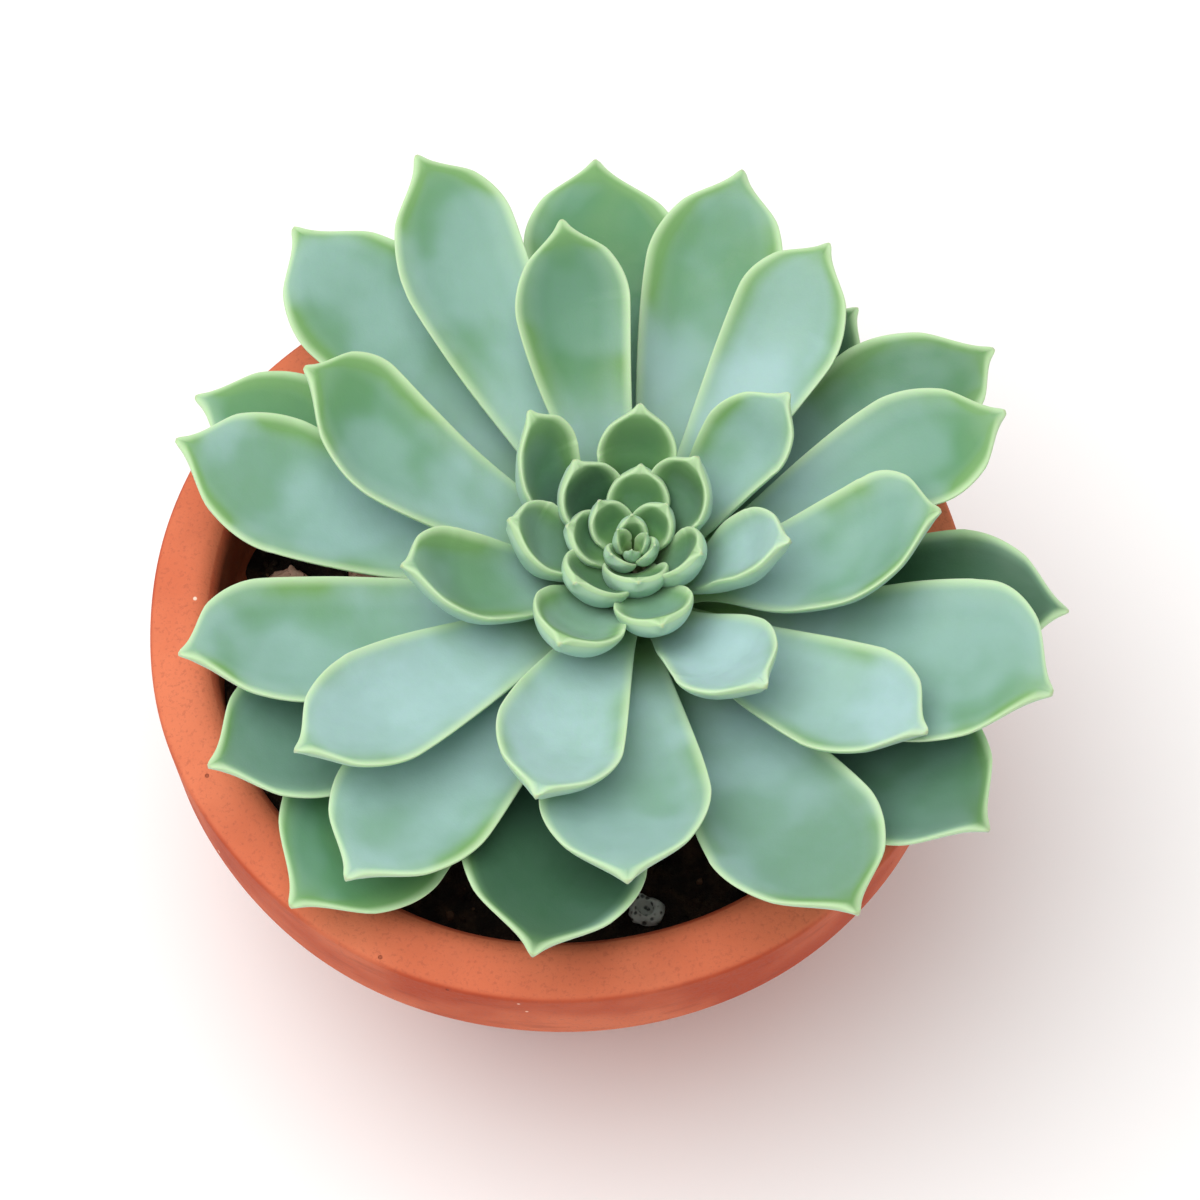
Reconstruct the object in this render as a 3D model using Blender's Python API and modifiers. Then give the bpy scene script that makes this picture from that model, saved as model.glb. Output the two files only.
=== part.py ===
"""A potted rosette succulent: a clay pot, soil with a few chips in it, a short stem and its leaves.

Metres, +Z up. The origin is the middle of the pot's underside, and the pot's axis is Z.
"""

import math

import bpy
import numpy as np

MM = 0.001
FIT_GAP = 0.3 * MM  # clearance left between pieces that meet

# Pot
POT_HEIGHT = 56.0 * MM
RIM_RADIUS = 50.0 * MM
BASE_RADIUS = 30.0 * MM
RIM_THICKNESS = 8.0 * MM
BAND_HEIGHT = 14.0 * MM
BAND_TAPER = 1.0 * MM  # how much narrower the band's foot is than its top
BAND_STEP = 3.0 * MM  # how far the band stands out from the body below it
RIM_INNER_ROUND = 3.0 * MM
RIM_OUTER_ROUND = 0.9 * MM
RIM_FALL = 0.9 * MM  # how far the rim's top falls from its crown to its outer edge
WALL = 5.5 * MM
FLOOR = 6.0 * MM
DRAIN_DIAMETER = 5.0 * MM
DRAIN_CIRCLE_RADIUS = 13.0 * MM
DRAIN_COUNT = 3
POT_SIDES = 64

# Soil
SOIL_BELOW_RIM = 14.0 * MM
SOIL_SIDES = 40

# Stem: the rosette's axis stands beside the pot's
STEM_X = 8.6 * MM
STEM_Y = 4.6 * MM
STEM_RADIUS = 6.0 * MM
STEM_BURIED = 9.0 * MM
STEM_SIDES = 24
STEM_TAPER = 0.8  # the stem's core, as a share of the circle that the leaves start on
HEART_LEAF_HEIGHT = 6.5 * MM  # youngest leaves above the stem's end

# Leaves
GOLDEN_ANGLE = 137.5
FIRST_HEADING = 5.0
ROSETTE_RADIUS = 60.0 * MM
LEAF_WIDTH = 18.6 * MM
LEAF_THICKNESS = 3.0 * MM
LEAF_BASE_WIDTH = 4.5 * MM
BASE_SHARE = 0.4  # most that a leaf's base takes of its half width
FREE_WIDTH = 0.31  # leaf width, as a share of the rosette's radius, up to which leaves stack close
CROWDING = 2.0  # how much faster than their width wider leaves move apart
LEAF_HANDLE = 0.36  # how stiffly a leaf keeps its direction at both ends, as a share of its length

# Growth curves: values at these ages, counted in leaves from the heart outwards
AGES = (0, 5, 10, 17, 25, 34, 46, 58)
STEM_DROP = (0.0, 0.27, 0.57, 1.2, 2.15, 3.25, 4.75, 6.35)  # below the stem's end, in layers
STEM_SPREAD = (0.10, 0.26, 0.40, 0.58, 0.78, 0.92, 1.0, 1.0)  # share of the stem's radius
RISE = (0.0, 0.17, 0.67, 1.33, 1.83, 1.17, -0.67, -3.5)  # the tip above the heart, in layers
START_PITCH = (82.0, 78.0, 72.0, 64.0, 56.0, 46.0, 34.0, 22.0)  # degrees above level
END_PITCH = (84.0, 74.0, 58.0, 42.0, 28.0, 14.0, 4.0, -6.0)
CUP = (0.0, 0.06, 0.19, 0.37, 0.50, 0.53, 0.53, 0.53)  # rise of the widest leaf's margins, layers
THICKNESS_SHARE = (0.16, 0.18, 0.26, 0.38, 0.60, 0.84, 1.0, 1.0)

# A leaf's length: width of the blade and thickness at these shares of it, as shares of the most
ALONG = (0.0, 0.14, 0.32, 0.50, 0.66, 0.78, 0.87, 0.94, 1.0)
OUTLINE = (0.0, 0.18, 0.46, 0.74, 0.93, 1.0, 0.93, 0.60, 0.04)
THICKNESS = (0.36, 0.50, 0.74, 0.93, 1.0, 0.82, 0.64, 0.45, 0.25)

# The heart's own leaves, youngest first: heading in degrees, reach in hundredths of the rosette's
HEART_LEAVES = (
    (265, 2.8), (20, 3.2), (150, 3.8), (338, 5.3), (223, 6.7), (92, 5.5),
    (132, 11.2), (43, 10.6), (174, 14.7), (275, 13.6), (83, 16.0),
)
# The rosette's leaves in the order of the spiral: turn off it in degrees, reach in hundredths,
# the tip's lift off the growth curve in layers, and bow: degrees that the leaf's middle stands off
# its own heading. None is a place that holds no leaf any more.
ROSETTE_LEAVES = (
    (13, 19.5, 0, 0), (-18, 17, 0, 0), (0, 20.5, 0, 8), (16, 26.5, 0.1, 0), (2, 21.5, 0, -8),
    (-1, 27.5, 0, 8), None, (-11, 27.5, 0, 0), (8, 35, 0, -4), None, None, None, None,
    (-7, 50, 0, 6), (8, 33.5, 0, 0), (15, 32.5, 0, 15), (-2, 67.5, 0.1, -1), (8, 43, 0, 0), None,
    (-3, 47.5, 0, -2), (17, 70, 0, 3), (-4, 86, 0.47, 1.5), (1, 62.5, 0, -9), (16, 75, 0.33, 6.5),
    (-6, 80.5, 0, -1), (5, 76, 0, -1), (8, 95.5, 0.03, 2.5), (-6, 74.5, 0.1, -4.5),
    (12.5, 96.5, 0.1, 1.5), (-9, 95.5, -0.2, 0), (-1.5, 80, 0.55, 0), (10, 95, 0, 4.5),
    (2.5, 94.5, 0, -2), (2, 87.5, 0, 1), (0.5, 98, -0.53, 1), (-11.5, 91, 0.83, -2),
    (9, 100.5, -0.1, 1), (-5, 92.5, 0.13, 0), (-9.5, 86, 0.67, 4.5), None,
    (3.5, 93.5, 0.13, -1.5), (2, 91.5, 0, 0), (-1.5, 102, -0.2, -2), (-15.5, 88.5, 0.4, 2),
    (12, 97, 0, 0), None, (-8, 76, 0.2, 0),
)
# Widths of leaves that reach this far, as shares of the widest
REACH_AT = (0, 7, 15, 25, 33, 47, 67, 83, 97)
WIDTH_SHARE = (0.09, 0.27, 0.46, 0.56, 0.60, 0.69, 0.84, 0.92, 1.0)

# Chips and grit on the soil: name, heading, distance of the middle from the pot's inner wall,
# turn (degrees), length, width and thickness. Lengths in mm.
CHIPS = (
    ("bark_chip_01", 150, 7.0, 20, 8.0, 4.6, 2.4),
    ("bark_chip_02", 163, 8.0, -35, 6.5, 4.0, 2.0),
    ("bark_chip_03", 156, 15.5, 75, 6.0, 4.4, 2.6),
    ("bark_chip_04", 171, 16.0, 10, 5.2, 3.4, 1.8),
    ("pumice_bit", 287, 7.2, 0, 4.2, 3.6, 2.6),
)
CHIP_FLAT = 0.25  # height of a chip's flat underside below its middle, as a share of its thickness
CHIP_ROUGHNESS = 0.16  # how far a chip's corners stray, as a share of its size
CHIP_SEED = 5


def remove_everything():
    for thing in list(bpy.data.objects):
        bpy.data.objects.remove(thing, do_unlink=True)


def new_collection(name):
    made = bpy.data.collections.new(name)
    bpy.context.scene.collection.children.link(made)
    return made


def material(name, colour, roughness):
    made = bpy.data.materials.new(name)
    made.use_nodes = True
    shader = made.node_tree.nodes["Principled BSDF"]
    shader.inputs["Base Color"].default_value = (*colour, 1.0)
    shader.inputs["Roughness"].default_value = roughness
    shader.inputs["Metallic"].default_value = 0.0
    return made


def add_object(name, points, faces, finish, home, edges=()):
    mesh = bpy.data.meshes.new(name)
    mesh.from_pydata([tuple(p) for p in points], edges, faces)
    mesh.validate()
    made = bpy.data.objects.new(name, mesh)
    home.objects.link(made)
    if finish is not None:
        mesh.materials.append(finish)
    return made


def smooth(thing, degrees=35.0):
    thing.data.shade_smooth()
    thing.data.set_sharp_from_angle(angle=math.radians(degrees))


def turned(name, profile, sides, finish, home, place=(0.0, 0.0, 0.0)):
    """A turned solid: the profile (radius, height) starts and ends on the axis."""
    points = [(radius, 0.0, height) for radius, height in profile]
    edges = [(i, i + 1) for i in range(len(points) - 1)]
    made = add_object(name, points, [], finish, home, edges)
    made.location = place
    screw = made.modifiers.new("turn", "SCREW")
    screw.axis = "Z"
    screw.steps = sides
    screw.render_steps = sides
    screw.use_merge_vertices = True
    screw.merge_threshold = 0.00001
    screw.use_smooth_shade = True
    return made


def arc(centre, radius, start, end, steps):
    angles = np.radians(np.linspace(start, end, steps))
    return [(centre[0] + radius * math.cos(a), centre[1] + radius * math.sin(a)) for a in angles]


# ---- pot and soil

WALL_GAP = 1.5 * FIT_GAP  # level gap to the pot's wall, which leans
BAND_FOOT = POT_HEIGHT - BAND_HEIGHT
MOUTH_RADIUS = RIM_RADIUS - RIM_THICKNESS


def inner_radius(height):
    """The pot's inner wall: straight from the floor to the band's foot, then the mouth."""
    floor_radius = BASE_RADIUS - WALL
    return float(np.interp(height, (FLOOR, BAND_FOOT), (floor_radius, MOUTH_RADIUS)))


def pot_profile():
    outer_edge = POT_HEIGHT - RIM_FALL
    inner_round = arc((MOUTH_RADIUS + RIM_INNER_ROUND, POT_HEIGHT - RIM_INNER_ROUND),
                      RIM_INNER_ROUND, 180.0, 90.0, 5)
    outer_round = arc((RIM_RADIUS - RIM_OUTER_ROUND, outer_edge - RIM_OUTER_ROUND),
                      RIM_OUTER_ROUND, 90.0, 0.0, 4)
    foot_radius = RIM_RADIUS - BAND_TAPER
    return [
        (0.0, FLOOR),
        (inner_radius(FLOOR), FLOOR),
        (MOUTH_RADIUS, BAND_FOOT),
        *inner_round,
        *outer_round,
        (foot_radius, BAND_FOOT + RIM_OUTER_ROUND),
        (foot_radius - RIM_OUTER_ROUND, BAND_FOOT),
        (foot_radius - BAND_STEP, BAND_FOOT),
        (BASE_RADIUS, RIM_OUTER_ROUND),
        (BASE_RADIUS - RIM_OUTER_ROUND, 0.0),
        (0.0, 0.0),
    ]


def cut_from(thing, cutter):
    cut = thing.modifiers.new("cut " + cutter.name, "BOOLEAN")
    cut.operation = "DIFFERENCE"
    cut.object = cutter
    cut.solver = "EXACT"
    cutter.hide_render = True
    cutter.display_type = "WIRE"


def drain_cutter(number, home):
    angle = math.radians(90.0 + 360.0 * number / DRAIN_COUNT)
    radius = 0.5 * DRAIN_DIAMETER
    profile = [(0.0, 2.0 * FLOOR), (radius, 2.0 * FLOOR), (radius, -FLOOR), (0.0, -FLOOR)]
    place = (DRAIN_CIRCLE_RADIUS * math.cos(angle), DRAIN_CIRCLE_RADIUS * math.sin(angle), 0.0)
    return turned("drain_cutter_%d" % number, profile, 16, None, home, place)


def make_pot(home, cutters):
    clay = material("terracotta", (0.66, 0.17, 0.075), 0.8)
    pot = turned("pot", pot_profile(), POT_SIDES, clay, home)
    for number in range(DRAIN_COUNT):
        cut_from(pot, drain_cutter(number, cutters))


SOIL_TOP = POT_HEIGHT - SOIL_BELOW_RIM


def make_soil(home, cutters):
    earth = material("potting_mix", (0.035, 0.022, 0.015), 0.95)
    base = FLOOR + FIT_GAP
    top_radius = inner_radius(SOIL_TOP) - WALL_GAP
    knee = min(BAND_FOOT, SOIL_TOP)
    profile = [
        (0.0, SOIL_TOP),
        (top_radius, SOIL_TOP),
        (inner_radius(knee) - WALL_GAP, knee - FIT_GAP),
        (inner_radius(base) - WALL_GAP, base),
        (0.0, base),
    ]
    soil = turned("soil", profile, SOIL_SIDES, earth, home)
    hole = STEM_RADIUS + FIT_GAP
    depth = SOIL_TOP - STEM_BURIED - FIT_GAP
    cutter = turned(
        "stem_cutter",
        [(0.0, POT_HEIGHT), (hole, POT_HEIGHT), (hole, depth), (0.0, depth)],
        STEM_SIDES, None, cutters, (STEM_X, STEM_Y, 0.0))
    cut_from(soil, cutter)


# ---- stem and leaves

# A layer is the height between leaves that lie on each other. Leaves too wide for their rosette
# overlap more, and so they lie further apart.
OVERLAP = max(0.0, LEAF_WIDTH / (FREE_WIDTH * ROSETTE_RADIUS) - 1.0)
LAYER = LEAF_THICKNESS * (1.0 + CROWDING * OVERLAP)
# The oldest leaf starts just clear of the soil. The whole plant then rises to clear the rim.
LOWEST_START = SOIL_TOP + FIT_GAP + THICKNESS[0] * LEAF_THICKNESS
STEM_END = LOWEST_START + STEM_DROP[-1] * LAYER
HEART_TOP = STEM_END + HEART_LEAF_HEIGHT


def growth(curve, age):
    return float(np.interp(age, AGES, curve))


def stem_height(age):
    return STEM_END - growth(STEM_DROP, age) * LAYER


def stem_radius(age):
    return STEM_RADIUS * growth(STEM_SPREAD, age)


def make_stem(home, rise):
    bark = material("stem", (0.30, 0.30, 0.16), 0.75)
    ages = np.arange(0.0, AGES[-1] + 1.0, 4.0)
    profile = [(0.0, STEM_END + rise)]
    for age in ages:
        profile.append((STEM_TAPER * stem_radius(age) - FIT_GAP, stem_height(age) + rise))
    profile.append((STEM_RADIUS - FIT_GAP, SOIL_TOP))
    profile.append((STEM_TAPER * STEM_RADIUS, SOIL_TOP - STEM_BURIED))
    profile.append((0.0, SOIL_TOP - STEM_BURIED))
    turned("stem", profile, STEM_SIDES, bark, home, (STEM_X, STEM_Y, 0.0))


def leaf_centreline(age, reach, lift, along):
    """Cubic curve in the plane of the stem: radius and height, and the pitch, at each share along.

    It leaves the stem at the start pitch and comes to the tip at the end pitch.
    """
    start = np.array((stem_radius(age), stem_height(age)))
    tip = np.array((reach, HEART_TOP + (growth(RISE, age) + lift) * LAYER))
    handle = LEAF_HANDLE * np.linalg.norm(tip - start)
    pitch_0 = math.radians(growth(START_PITCH, age))
    pitch_1 = math.radians(growth(END_PITCH, age))
    first = start + handle * np.array((math.cos(pitch_0), math.sin(pitch_0)))
    second = tip - handle * np.array((math.cos(pitch_1), math.sin(pitch_1)))
    s = along[:, None]
    line = (1 - s) ** 3 * start + 3 * s * (1 - s) ** 2 * first
    line = line + 3 * s ** 2 * (1 - s) * second + s ** 3 * tip
    run = 3 * (1 - s) ** 2 * (first - start) + 6 * s * (1 - s) * (second - first)
    run = run + 3 * s ** 2 * (tip - second)
    pitch = np.arctan2(run[:, 1], run[:, 0])
    return line[:, 0], line[:, 1], pitch


def leaf_points(age, heading, reach, lift, bow):
    """Sections of eight points from base to tip; each section bends round the stem's axis."""
    along = np.array(ALONG)
    radius, height, pitch = leaf_centreline(age, 0.01 * reach * ROSETTE_RADIUS, lift, along)
    half = 0.5 * LEAF_WIDTH * float(np.interp(reach, REACH_AT, WIDTH_SHARE))
    base_half = min(0.5 * LEAF_BASE_WIDTH, BASE_SHARE * half)
    shape = np.array(OUTLINE)
    half_width = base_half * (1 - along) ** 2 + half * shape
    half_width = np.minimum(half_width, half)
    thickness = LEAF_THICKNESS * growth(THICKNESS_SHARE, age) * np.array(THICKNESS)
    across = np.array((-1.0, -0.55, 0.0, 0.55, 1.0, 0.55, 0.0, -0.55))
    below = np.array((0.0, 0.0, 0.0, 0.0, 0.0, 1.0, 1.0, 1.0))
    cup = growth(CUP, age) * LAYER * half_width / (0.5 * LEAF_WIDTH)
    proud = cup[:, None] * across ** 2
    proud = proud - below * thickness[:, None] * (1.0 - np.abs(across) ** 2.5)
    away = radius[:, None] - proud * np.sin(pitch)[:, None]
    up = height[:, None] + proud * np.cos(pitch)[:, None]
    turn = across * half_width[:, None] / np.maximum(radius[:, None], half_width[:, None])
    angle = math.radians(heading) + math.radians(bow) * np.sin(math.pi * along)[:, None] + turn
    x = STEM_X + away * np.cos(angle)
    y = STEM_Y + away * np.sin(angle)
    return np.stack((x, y, up), axis=-1)


def loft_faces(sections, ring):
    faces = []
    for row in range(sections - 1):
        for i in range(ring):
            j = (i + 1) % ring
            low = row * ring
            high = low + ring
            faces.append((low + j, low + i, high + i, high + j))
    faces.append(tuple(range(ring)))
    last = (sections - 1) * ring
    faces.append(tuple(last + ring - 1 - i for i in range(ring)))
    return faces


def leaf_habits():
    """Age, heading, reach, lift and bow of every leaf, youngest first."""
    habits = []
    for age, (heading, reach) in enumerate(HEART_LEAVES):
        habits.append((age, heading, reach, 0.0, 0.0))
    first_age = len(HEART_LEAVES) + 1
    for place, habit in enumerate(ROSETTE_LEAVES):
        if habit is not None:
            age = first_age + place
            turn, reach, lift, bow = habit
            habits.append((age, FIRST_HEADING + GOLDEN_ANGLE * age + turn, reach, lift, bow))
    return habits


def rise_over_rim(habits):
    """How far the plant has to rise for every leaf to pass clear over the pot's rim."""
    rise = 0.0
    share = np.linspace(0.0, 1.0, 12)[:, None, None, None]
    for habit in habits:
        points = leaf_points(*habit)
        points = points[:-1] + share * (points[1:] - points[:-1])
        radius = np.hypot(points[..., 0], points[..., 1])
        inside = np.clip(MOUTH_RADIUS + RIM_INNER_ROUND - radius, 0.0, RIM_INNER_ROUND)
        rim_top = POT_HEIGHT - RIM_INNER_ROUND + np.sqrt(RIM_INNER_ROUND ** 2 - inside ** 2)
        above_rim = (radius > MOUTH_RADIUS) & (radius < RIM_RADIUS)
        short = np.where(above_rim, rim_top + FIT_GAP - points[..., 2], 0.0)
        rise = max(rise, float(short.max()))
    return rise


def make_leaf(name, habit, rise, finish, home):
    points = leaf_points(*habit)
    points[..., 2] += rise
    sections, ring = points.shape[:2]
    leaf = add_object(name, points.reshape(-1, 3), loft_faces(sections, ring), finish, home)
    smooth(leaf, 60.0)


def make_leaves(home, habits, rise):
    finish = material("leaf", (0.27, 0.45, 0.36), 0.5)
    for number, habit in enumerate(habits, start=1):
        make_leaf("leaf_%02d" % number, habit, rise, finish, home)


# ---- chips and grit lying on the soil

def make_chips(home):
    """Low, roughened blobs: an icosphere squashed to each chip's size and flat underneath."""
    wood = material("bark", (0.42, 0.20, 0.12), 0.9)
    stone = material("pumice", (0.36, 0.36, 0.34), 0.95)
    dice = np.random.default_rng(CHIP_SEED)
    for name, heading, inset, turn, length, width, thickness in CHIPS:
        bpy.ops.mesh.primitive_ico_sphere_add(subdivisions=2, radius=0.5)
        chip = bpy.context.object
        chip.name = name
        chip.data.name = name
        chip.data.materials.append(wood if name.startswith("bark") else stone)
        for owner in list(chip.users_collection):
            owner.objects.unlink(chip)
        home.objects.link(chip)
        for vertex in chip.data.vertices:
            stray = 1.0 + CHIP_ROUGHNESS * dice.uniform(-1.0, 1.0)
            point = vertex.co * stray
            vertex.co.x = point.x * length * MM
            vertex.co.y = point.y * width * MM
            vertex.co.z = max(point.z + CHIP_FLAT, 0.0) * thickness * MM
        angle = math.radians(heading)
        distance = inner_radius(SOIL_TOP) - inset * MM
        chip.location = (distance * math.cos(angle), distance * math.sin(angle),
                         SOIL_TOP + FIT_GAP)
        chip.rotation_euler = (0.0, 0.0, math.radians(turn))


def main():
    remove_everything()
    home = new_collection("potted_succulent")
    cutters = new_collection("cutters")
    make_pot(home, cutters)
    make_soil(home, cutters)
    habits = leaf_habits()
    rise = rise_over_rim(habits)
    make_stem(home, rise)
    make_leaves(home, habits, rise)
    make_chips(home)


main()
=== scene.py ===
import math

import bpy
import numpy as np
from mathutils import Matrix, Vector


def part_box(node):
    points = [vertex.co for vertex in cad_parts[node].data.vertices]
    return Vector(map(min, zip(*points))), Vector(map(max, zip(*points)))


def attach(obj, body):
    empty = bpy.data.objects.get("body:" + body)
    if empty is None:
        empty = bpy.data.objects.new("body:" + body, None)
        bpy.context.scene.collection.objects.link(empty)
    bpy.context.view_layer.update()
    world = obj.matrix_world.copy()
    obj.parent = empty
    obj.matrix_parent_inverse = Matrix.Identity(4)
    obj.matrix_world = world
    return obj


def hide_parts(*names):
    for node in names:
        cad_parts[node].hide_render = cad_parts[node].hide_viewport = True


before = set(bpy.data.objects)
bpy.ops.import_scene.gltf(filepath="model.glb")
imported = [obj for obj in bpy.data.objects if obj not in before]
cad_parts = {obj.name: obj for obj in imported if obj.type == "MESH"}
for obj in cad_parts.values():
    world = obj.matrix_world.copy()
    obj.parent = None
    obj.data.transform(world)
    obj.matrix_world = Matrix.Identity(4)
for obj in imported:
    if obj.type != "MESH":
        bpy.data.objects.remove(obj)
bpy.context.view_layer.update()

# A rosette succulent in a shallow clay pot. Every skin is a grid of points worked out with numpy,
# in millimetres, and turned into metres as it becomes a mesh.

mm = 0.001
fullTurn = 2.0 * math.pi

# the camera looks down on the rosette from the front
cameraSet = dict(distance=0.75, elevation=64.4, lens=185.4, shiftX=0.0325, shiftY=0.0133)

camera = bpy.data.objects.new("camera", bpy.data.cameras.new("camera"))
bpy.context.scene.collection.objects.link(camera)
potLow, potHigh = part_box("pot")
leanDown = math.radians(cameraSet["elevation"])
camera.location = (0.0, -cameraSet["distance"] * math.cos(leanDown),
                   potHigh.z + cameraSet["distance"] * math.sin(leanDown))
camera.rotation_euler = (0.5 * math.pi - leanDown, 0.0, 0.0)
camera.data.sensor_width = 36.0
camera.data.lens = cameraSet["lens"]
camera.data.shift_x = cameraSet["shiftX"]
camera.data.shift_y = cameraSet["shiftY"]
camera.data.clip_start = 0.01
camera.data.clip_end = 20.0
camera.data.dof.use_dof = False
bpy.context.scene.camera = camera
print("camera placed")


# smooth step: 0 up to low, 1 from high, a cubic between them
def ease(value, low, high):
    share = np.clip((value - low) / (high - low), 0.0, 1.0)
    return share * share * (3.0 - 2.0 * share)


# unevenness: a sum of cosines along random directions, with wavelengths near the size, scaled to a
# standard deviation of about 1
def uneven(points, size, seed, waves=24):
    dice = np.random.default_rng(seed)
    heading = dice.normal(size=(waves, 3))
    heading = heading / np.linalg.norm(heading, axis=1)[:, None]
    waveLength = size * dice.uniform(0.6, 1.7, waves)
    phase = dice.uniform(0.0, fullTurn, waves)
    turns = points @ (heading / waveLength[:, None]).T
    return np.cos(fullTurn * turns + phase).sum(axis=-1) * math.sqrt(2.0 / waves)


# a closed skin from rings of points: quads between rings, and a fan to a pole at each end; flip
# turns the faces over where the rings run the other way
def closedSkin(rings, firstPole, lastPole, flip=False):
    rows, columns = rings.shape[:2]
    i = np.arange(rows - 1)[:, None] * columns
    j = np.arange(columns)[None, :]
    k = (j + 1) % columns
    quads = np.stack((i + j, i + k, i + k + columns, i + j + columns), axis=-1).reshape(-1, 4)
    first = rows * columns
    here = np.arange(columns)
    after = (here + 1) % columns
    top = (rows - 1) * columns
    startFan = np.stack((np.full(columns, first), after, here), axis=-1)
    endFan = np.stack((np.full(columns, first + 1), top + here, top + after), axis=-1)
    points = np.concatenate((rings.reshape(-1, 3), [firstPole], [lastPole]))
    faces = [quads, np.concatenate((startFan, endFan))]
    if flip:
        faces = [group[:, ::-1] for group in faces]
    return points, faces


# a mesh at the origin; marks are values kept at its points, node is the CAD piece it stands for
def addPiece(name, points, faces, finish, node, marks=None):
    mesh = bpy.data.meshes.new(name)
    corners = np.concatenate([group.reshape(-1) for group in faces]).astype(np.int32)
    sides = np.concatenate([np.full(len(group), group.shape[1]) for group in faces])
    starts = np.concatenate(([0], np.cumsum(sides)[:-1])).astype(np.int32)
    mesh.vertices.add(len(points))
    mesh.vertices.foreach_set("co", points.astype(np.float32).ravel())
    mesh.loops.add(len(corners))
    mesh.loops.foreach_set("vertex_index", corners)
    mesh.polygons.add(len(starts))
    mesh.polygons.foreach_set("loop_start", starts)
    mesh.update(calc_edges=True)
    mesh.validate()
    mesh.shade_smooth()
    for title, values in (marks or {}).items():
        layer = mesh.attributes.new(title, "FLOAT", "POINT")
        layer.data.foreach_set("value", values.astype(np.float32))
    piece = bpy.data.objects.new(name, mesh)
    bpy.context.scene.collection.objects.link(piece)
    mesh.materials.append(finish)
    if node:
        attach(piece, "root")
        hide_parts(node)
    return piece


# a plain surface, with its node tree and shader for the finish to build on
def newFinish(name, roughness, specular):
    finish = bpy.data.materials.new(name)
    finish.use_nodes = True
    shader = finish.node_tree.nodes["Principled BSDF"]
    shader.inputs["Roughness"].default_value = roughness
    shader.inputs["Specular IOR Level"].default_value = specular
    return finish, finish.node_tree, shader


# a socket takes a link from another socket, a colour or a plain value
def put(tree, socket, value):
    if isinstance(value, bpy.types.NodeSocket):
        tree.links.new(value, socket)
    elif isinstance(value, tuple) and len(value) == 3 and socket.type == "RGBA":
        socket.default_value = (*value, 1.0)
    else:
        socket.default_value = value


# where a point is, in the shared frame
def place(tree):
    return tree.nodes.new("ShaderNodeTexCoord").outputs["Object"]


# one of the values that addPiece keeps at the points
def mark(tree, name):
    found = tree.nodes.new("ShaderNodeAttribute")
    found.attribute_name = name
    return found.outputs["Fac"]


# soft patches about as wide as the size; stretch packs them closer along an axis
def cloud(tree, where, size, detail=2.0, roughness=0.5, stretch=None):
    if stretch:
        turned = tree.nodes.new("ShaderNodeMapping")
        put(tree, turned.inputs["Vector"], where)
        turned.inputs["Scale"].default_value = stretch
        where = turned.outputs["Vector"]
    noise = tree.nodes.new("ShaderNodeTexNoise")
    put(tree, noise.inputs["Vector"], where)
    noise.inputs["Scale"].default_value = 1.0 / size
    noise.inputs["Detail"].default_value = detail
    noise.inputs["Roughness"].default_value = roughness
    return noise.outputs["Fac"]


# distance from scattered cell centres, in cells, and a random value for each cell
def specks(tree, where, size):
    cells = tree.nodes.new("ShaderNodeTexVoronoi")
    put(tree, cells.inputs["Vector"], where)
    cells.inputs["Scale"].default_value = 1.0 / size
    return cells.outputs["Distance"], cells.outputs["Color"]


# a value that goes from low to high becomes one that goes smoothly from start to end
def span(tree, value, low, high, start=0.0, end=1.0):
    node = tree.nodes.new("ShaderNodeMapRange")
    node.interpolation_type = "SMOOTHSTEP"
    put(tree, node.inputs["Value"], value)
    node.inputs["From Min"].default_value = low
    node.inputs["From Max"].default_value = high
    node.inputs["To Min"].default_value = start
    node.inputs["To Max"].default_value = end
    return node.outputs["Result"]


# two values added, taken away or multiplied; the first two are held between 0 and 1
def sums(tree, kind, first, second):
    node = tree.nodes.new("ShaderNodeMath")
    node.operation = kind
    node.use_clamp = kind in ("ADD", "SUBTRACT")
    put(tree, node.inputs[0], first)
    put(tree, node.inputs[1], second)
    return node.outputs[0]


# the first colour where the share is 0, the second where it is 1
def blendColour(tree, share, first, second):
    node = tree.nodes.new("ShaderNodeMix")
    node.data_type = "RGBA"
    put(tree, node.inputs[0], share)
    put(tree, node.inputs[6], first)
    put(tree, node.inputs[7], second)
    return node.outputs[2]


# fine relief from a height; under is a coarser relief that it is added to
def bump(tree, shader, height, depth, strength=1.0, under=None):
    node = tree.nodes.new("ShaderNodeBump")
    node.inputs["Distance"].default_value = depth
    node.inputs["Strength"].default_value = strength
    put(tree, node.inputs["Height"], height)
    if under:
        put(tree, node.inputs["Normal"], under)
    put(tree, shader.inputs["Normal"], node.outputs["Normal"])
    return node.outputs["Normal"]


potSet = dict(
    rimRadius=50.0, mouthRadius=42.0, bandHeight=14.0, bandTaper=1.0, bandStep=3.0,
    baseRadius=30.0, wall=5.5, floor=6.0, innerRound=3.0, outerRound=0.9, rimFall=0.9,
    floorRound=2.0, bandRound=0.7, stepRound=0.6, footRound=0.9,
    drainRadius=2.5, drainCircle=13.0, drainCount=3, drainSides=32,
    sides=288, spacing=1.2, wobble=0.06, wobbleSize=30.0,
    patchSize=26.0, dragSize=9.0, grainSize=0.55, grainDepth=0.09,
    pitCell=2.1, pitDepth=0.18, fleckCell=2.9,
    # the dusty colour is the paler clay of the patches, and also the painted light on the rim's top
    clay=(0.46, 0.068, 0.025), dustyAndLit=(0.80, 0.235, 0.115), burnt=(0.29, 0.047, 0.024),
    pit=(0.26, 0.050, 0.026), fleck=(0.93, 0.70, 0.56),
)


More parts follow.
